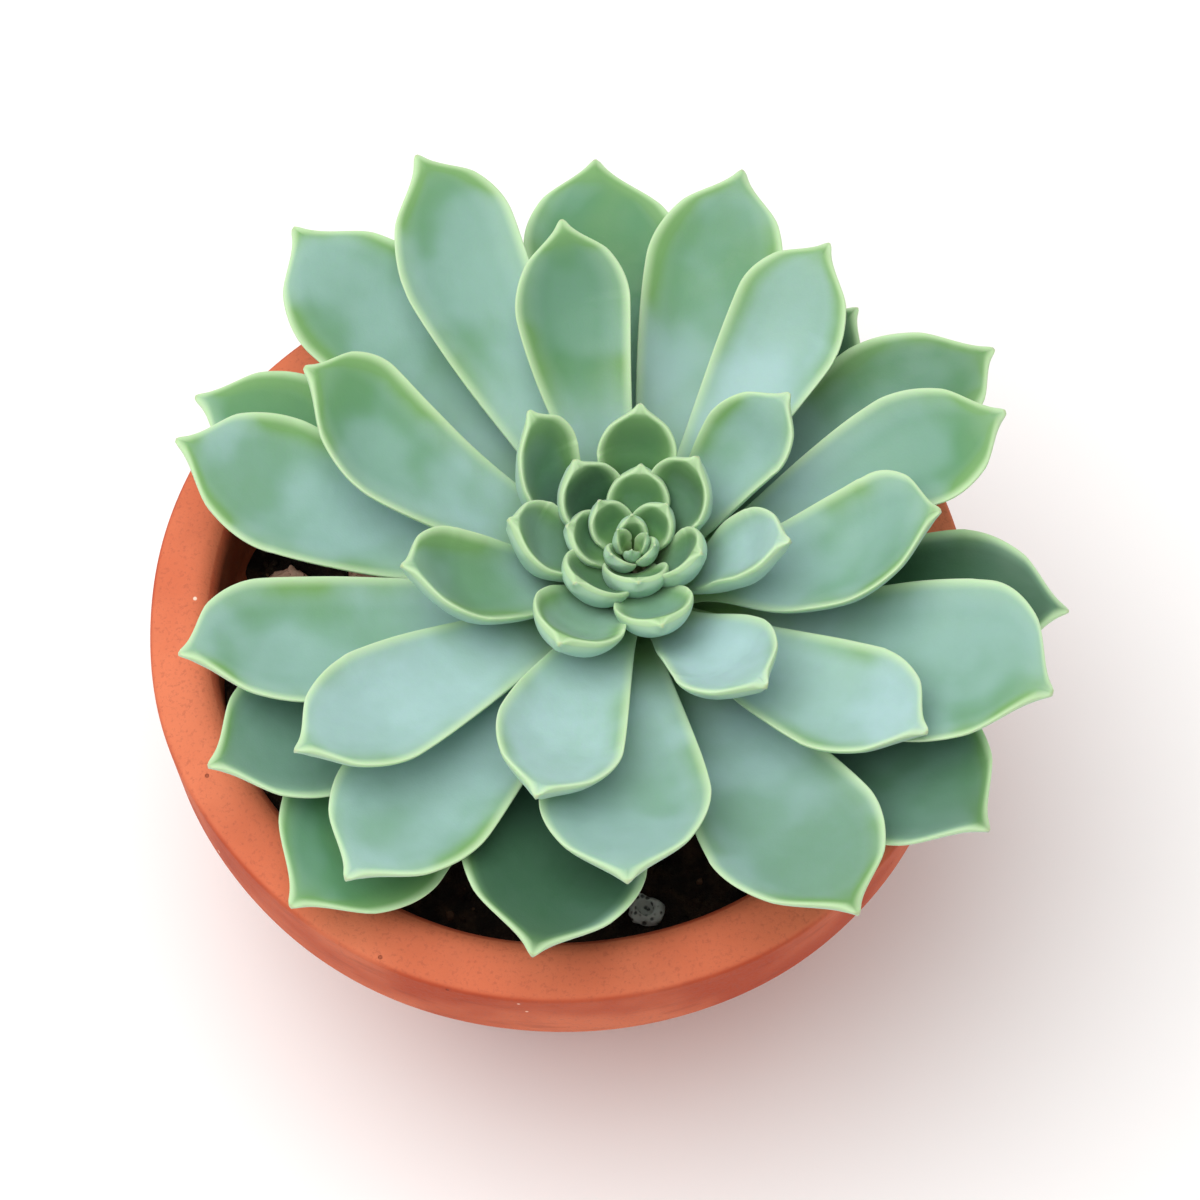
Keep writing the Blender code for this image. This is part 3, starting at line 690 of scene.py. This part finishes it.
def leafFinish(look):
    finish, tree, shader = newFinish("leafSkin", 0.5, 0.35)
    where = place(tree)
    along, rim, under, wornAndShaded = [mark(tree, name) for name in ("along", "rim", "under", "wornAndShaded")]
    wide = span(tree, cloud(tree, where, look["wideCloud"] * mm, 2.0, 0.5), 0.36, 0.66)
    fine = span(tree, cloud(tree, where, look["fineCloud"] * mm, 4.0, 0.6), 0.30, 0.70)
    colour = blendColour(tree, waxCover(tree, along, rim, wornAndShaded, wide, fine),
                         fleshColour(tree, look, along, rim, wide),
                         waxColourAndShade(tree, look, along, rim, wornAndShaded, wide))
    # painted shade: leaves in the shade of others are painted darker toward the shaded colour, less so at
    # the margin
    dark = sums(tree, "MULTIPLY", mark(tree, "paintedShade"), span(tree, rim, 0.2, 2.6, 0.35, 0.90))
    colour = blendColour(tree, dark, colour, look["shaded"])
    colour = blendColour(tree, sums(tree, "MULTIPLY", under, 0.8), colour, look["underside"])
    # the thin pale line at the margin, the browner point and a few reddish dots near it
    paleEdge = sums(tree, "MULTIPLY", span(tree, rim, 0.0, 1.5, 0.85, 0.0),
                    span(tree, along, 0.2, 0.6, 0.55, 1.0))
    paleEdge = sums(tree, "MULTIPLY", paleEdge, span(tree, under, 0.0, 1.0, 1.0, 0.45))
    colour = blendColour(tree, paleEdge, colour, look["margin"])
    tip = span(tree, along, 0.985, 1.0)
    colour = blendColour(tree, sums(tree, "MULTIPLY", tip, 0.35), colour, look["point"])
    dots, dice = specks(tree, where, look["blushCell"] * mm)
    reddish = sums(tree, "MULTIPLY", span(tree, dots, 0.10, 0.22, 1.0, 0.0), span(tree, dice, 0.88, 0.90))
    reddish = sums(tree, "MULTIPLY", reddish, span(tree, along, 0.86, 0.97))
    colour = blendColour(tree, sums(tree, "MULTIPLY", reddish, 0.35), colour, look["blush"])
    put(tree, shader.inputs["Base Color"], colour)
    put(tree, shader.inputs["Roughness"], span(tree, fine, 0.0, 1.0, 0.58, 0.44))
    put(tree, shader.inputs["Subsurface Weight"], look["lightThrough"])
    put(tree, shader.inputs["Subsurface Radius"], look["throughColour"])
    put(tree, shader.inputs["Subsurface Scale"], look["throughDepth"] * mm)
    put(tree, shader.inputs["Sheen Weight"], look["velvet"])
    put(tree, shader.inputs["Sheen Roughness"], 0.5)
    put(tree, shader.inputs["Sheen Tint"], look["velvetColour"])
    dimples = cloud(tree, where, look["dimpleSize"] * mm, 2.0, 0.5)
    pores = cloud(tree, where, look["poreSize"] * mm, 2.0, 0.6)
    coarse = bump(tree, shader, dimples, look["dimpleDepth"] * mm, 0.6)
    bump(tree, shader, pores, look["poreDepth"] * mm, 0.8, coarse)
    return finish


# the middle of a leaf: a cubic curve in the plane of the stem, as radius, height and pitch
def leafSpine(age, reach, lift, share):
    layer = plantSet["layer"]
    start = np.array((plantSet["stemRadius"] * grown("spread", age), stemEnd - grown("drop", age) * layer))
    tip = np.array((0.01 * reach * plantSet["rosetteRadius"],
                    heartTop + (grown("rise", age) + lift) * layer))
    handle = plantSet["handle"] * np.linalg.norm(tip - start)
    leave, arrive = math.radians(grown("startPitch", age)), math.radians(grown("endPitch", age))
    first = start + handle * np.array((math.cos(leave), math.sin(leave)))
    second = tip - handle * np.array((math.cos(arrive), math.sin(arrive)))
    s = share[:, None]
    line = (1 - s) ** 3 * start + 3 * s * (1 - s) ** 2 * first + 3 * s ** 2 * (1 - s) * second
    line = line + s ** 3 * tip
    run = 3 * (1 - s) ** 2 * (first - start) + 6 * s * (1 - s) * (second - first)
    run = run + 3 * s ** 2 * (tip - second)
    return line[:, 0], line[:, 1], np.arctan2(run[:, 1], run[:, 0])


# share of the half width: it widens almost straight from the neck and rounds over at the widest
# place, then falls as one minus a power, pinched in over the last part to leave a short point
def leafOutline(neck, widest, share):
    before = np.clip(share / widest, 0.0, 1.0)
    swell = np.hypot(1.0 - (1.0 - before) ** leafSet["risePower"], neck * (1.0 - before))
    past = np.clip((share - widest) / (1.0 - widest), 0.0, 1.0)
    pinch = 1.0 - leafSet["tipPinch"] * ease(past, 0.54, 1.0)
    fall = (1.0 - past ** leafSet["fallPower"]) * pinch
    return np.minimum(swell, 1.0) * fall


# half width: one side has its shoulder nearer the tip, and one is fuller; a little is added all the
# way, less at the very tip, so that no ring closes before the pole
def leafHalf(dice, age, width, share, across):
    neck, widest = grown("neck", age), grown("widest", age)
    skew, fuller = dice.uniform(-1.0, 1.0, 2) * (leafSet["skew"], leafSet["fuller"])
    right = (1.0 + fuller) * leafOutline(neck, widest + skew, share)
    left = (1.0 - fuller) * leafOutline(neck, widest - skew, share)
    half = 0.5 * width * np.where(across > 0.0, right[:, None], left[:, None])
    least = leafSet["leastHalf"] * (1.0 - ease(share, 0.985, 1.0))[:, None]
    return half + least * min(1.0, width / 8.0)


# how far the skin stands proud of the spine. The sheet is cupped by a power of across, little at the
# base and fully by the middle, and levels out at the tip, as a spoon does. The margin is a rounded
# edge, the flesh hangs below as one minus a power, and two sines along the leaf ruffle it a little.
def leafProud(dice, age, width, half, share, across, side):
    widest = grown("widest", age)
    flesh = plantSet["layer"] * grown("thickness", age)
    thick = flesh * np.interp(share, leafSet["fleshPlaces"], leafSet["fleshShares"])
    below = side < -1e-6
    edge = grown("edge", age) * np.clip(half / 1.6, 0.25, 1.0)
    edge = edge * (0.45 + 0.55 * ease(share, 0.10, 0.50))[:, None]
    lip = 0.5 * edge * np.abs(side) ** leafSet["lipPower"] * np.where(below, -1.0, 1.0)
    bowl = np.where((share < widest)[:, None], half, 0.5 * width)
    cup = grown("cup", age) * bowl
    cup = cup * (leafSet["baseCup"] + (1.0 - leafSet["baseCup"]) * ease(share, 0.22, 0.66))[:, None]
    spoon = 1.0 - ease(share, widest - 0.05, 1.0)
    sheet = cup * (1.0 - spoon[:, None] * (1.0 - np.abs(across) ** leafSet["sheetPower"]))
    hanging = np.where(below, thick[:, None], 0.0) * (1.0 - np.abs(across) ** leafSet["fleshPower"])
    waves = dice.uniform(0.0, fullTurn, 2)
    amount = leafSet["ruffle"] * width * ease(share, 0.15, 0.6)
    ruffle = amount[:, None] * (np.sin(7.0 * share + waves[0])[:, None] * across
                                + 0.7 * np.sin(11.0 * share[:, None] + waves[1] + 1.2 * across))
    return sheet + lip - hanging + ruffle


# what the finish reads at each point; the two poles come last
def leafMarks(name, age, share, side, rim):
    pad = lambda values, first, last: np.concatenate((values.ravel(), (first, last)))
    count = rim.size + 2
    return dict(
        along=pad(np.repeat(share, len(side)), 0.0, 1.0),
        rim=pad(rim, 1.0, 0.0),
        under=pad(np.tile(ease(-side, 0.0, 0.35), len(share)), 0.0, 0.0),
        wax=np.full(count, grown("wax", age)),
        paintedShade=np.full(count, darkLeaves.get(name, 0.0)),
        wornAndShaded=np.full(count, wornAndShadedLeaves.get(name, 0.0)),
    )


# a leaf: rings round the spine, which settles by the sink past its base. Across is the cosine of the
# ring's angle and bends round the stem, so neighbouring leaves nest; the bow turns the middle of the
# leaf off its heading by a sine.
def makeLeaf(name, seed, age, heading, reach, lift, width, bow, finish):
    dice = np.random.default_rng(seed)
    even = np.linspace(0.0, 1.0, plantSet["rows"] + 1)[:-1]
    share = 0.45 * even + 0.55 * np.sin(0.5 * math.pi * even)  # rings are closer toward the tip
    phi = np.arange(plantSet["ring"]) * fullTurn / plantSet["ring"]
    across, side = np.cos(phi), np.sin(phi)
    radius, height, pitch = leafSpine(age, reach, lift, share)
    height = height - plantSet["sink"] * ease(share, plantSet["sinkStart"], plantSet["sinkEnd"])
    half = leafHalf(dice, age, width, share, across)
    proud = leafProud(dice, age, width, half, share, across, side)
    away = radius[:, None] - proud * np.sin(pitch)[:, None]
    up = height[:, None] + proud * np.cos(pitch)[:, None]
    turn = across * half / np.maximum(radius[:, None], half)
    offset = math.radians(bow) * np.sin(math.pi * share) ** 1.2
    angle = math.radians(heading) + offset[:, None] + turn
    rings = np.stack((plantSet["stemX"] + away * np.cos(angle),
                      plantSet["stemY"] + away * np.sin(angle), up), axis=-1) * mm
    points, faces = closedSkin(rings, rings[0].mean(axis=0), rings[-1].mean(axis=0))
    # distance to the margin: across the blade, or to the tip if that is nearer
    toSide = half * (1.0 - np.abs(across))
    toTip = (1.0 - share) * np.hypot(radius[-1] - radius[0], height[-1] - height[0])
    marks = leafMarks(name, age, share, side, np.minimum(toSide, 0.8 * toTip[:, None] + 0.1))
    leaf = addPiece(name.replace("leaf_", "leafBlade"), points, faces, finish, name, marks)


# the heart's leaves one by one, then the others at golden-angle steps; None is a step with no leaf
def makeLeaves():
    finish = leafFinish(leafSet)
    number = 0
    for age, (heading, reach, width) in enumerate(heartLeaves):
        number += 1
        makeLeaf("leaf_%02d" % number, number, age, heading, reach, 0.0, width, 0.0, finish)
    for order, habit in enumerate(rosetteLeaves):
        if habit is None:
            continue
        number += 1
        age = len(heartLeaves) + 1 + order
        turn, reach, lift, width, bow = habit
        heading = plantSet["firstHeading"] + plantSet["goldenAngle"] * age + turn
        makeLeaf("leaf_%02d" % number, number, age, heading, reach, lift, width, bow, finish)
    return number


print("leaves grown:", makeLeaves())


stageSet = dict(
    floorSize=6.0, floorColour=(0.96, 0.96, 0.955), worldColour=(1.0, 0.995, 0.985), worldPower=0.58,
    lampPower=12.0, lampSize=1.3, lampPlace=(-0.32, 0.04, 1.10),
    fillPower=0.2, fillSize=0.8, fillPlace=(-0.1, -0.8, 0.8),
)


# a wide floor, an even pale sky, a large soft lamp above to the left and a faint fill in front
def makeStage(look):
    half = 0.5 * look["floorSize"]
    corners = np.array(((-half, -half, 0.0), (half, -half, 0.0), (half, half, 0.0), (-half, half, 0.0)))
    finish, tree, shader = newFinish("paleFloor", 0.9, 0.1)
    tint = cloud(tree, place(tree), 0.5, 1.0)
    pale = look["floorColour"]
    darker = tuple(0.99 * part for part in pale)
    put(tree, shader.inputs["Base Color"], blendColour(tree, tint, pale, darker))
    floor = addPiece("floor", corners, [np.array(((0, 1, 2, 3),))], finish, None)
    world = bpy.data.worlds.new("studio")
    world.use_nodes = True
    world.node_tree.nodes["Background"].inputs["Color"].default_value = (*look["worldColour"], 1.0)
    world.node_tree.nodes["Background"].inputs["Strength"].default_value = look["worldPower"]
    bpy.context.scene.world = world
    for name in ("lamp", "fill"):
        light = bpy.data.lights.new(name, "AREA")
        light.shape = "DISK"
        light.size = look[name + "Size"]
        light.energy = look[name + "Power"]
        lamp = bpy.data.objects.new(name, light)
        bpy.context.scene.collection.objects.link(lamp)
        spot = np.array(look[name + "Place"])
        lamp.location = spot
        flat = math.hypot(spot[0], spot[1])
        lamp.rotation_euler = (math.atan2(flat, spot[2]), 0.0, math.atan2(spot[0], -spot[1]))
    bpy.context.scene.view_settings.view_transform = "Standard"


makeStage(stageSet)
print("stage set")
